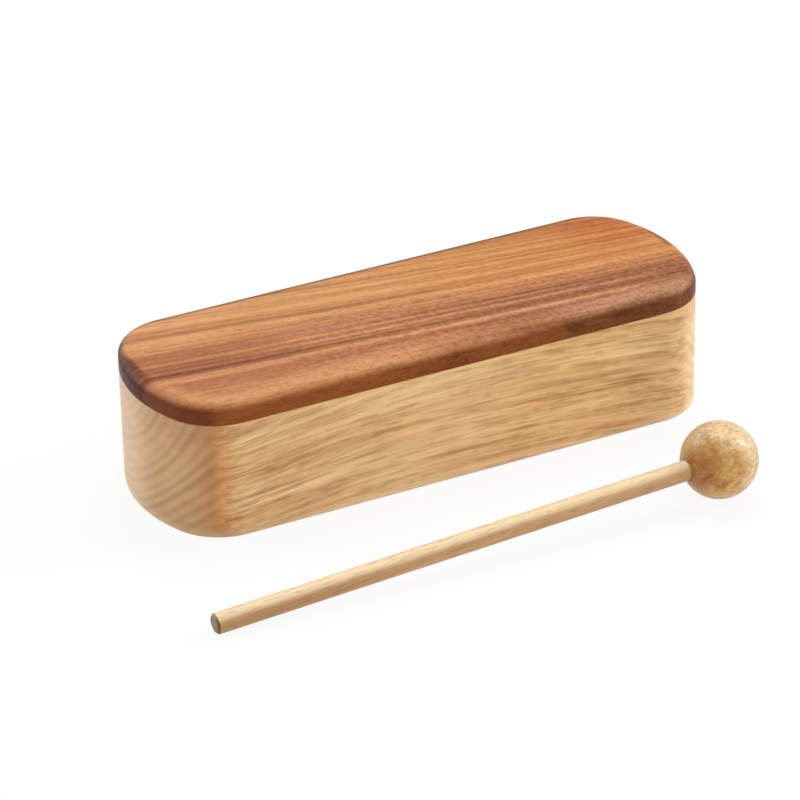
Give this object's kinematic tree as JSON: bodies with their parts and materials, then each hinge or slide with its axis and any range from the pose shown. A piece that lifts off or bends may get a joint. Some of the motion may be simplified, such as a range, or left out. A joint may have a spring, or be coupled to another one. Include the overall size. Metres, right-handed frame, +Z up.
{
  "type": "woodblock",
  "caption": "Hollow wooden striking block: pale rounded body with a rear sound slot, a darker playing plate glued on top, and a ball-headed wooden beater lying in front.",
  "frame": {"origin": "centre of the block's underside, on the table", "axes": "+X along the block towards the end where the beater's ball lies, +Y to the rear where the sound slot is, +Z up"},
  "size_m": [0.2493, 0.154, 0.0566],
  "materials": {
    "body_wood": "satin lacquer over pale straight-grained hardwood",
    "plate_wood": "satin lacquer over striped reddish-brown hardwood",
    "ball_wood": "satin lacquer over a turned ball",
    "shaft_wood": "sanded pale dowel"
  },
  "bodies": {
    "block": {"resonator_body": "body_wood", "top_plate": "plate_wood"},
    "beater": {"beater_head": "ball_wood", "beater_shaft": "shaft_wood"}
  },
  "joints": [
    {"name": "beater_lift", "type": "slide", "parent": "block", "child": "beater", "axis": [0, 0, 1], "range_m": [0, 0.12]}
  ]
}
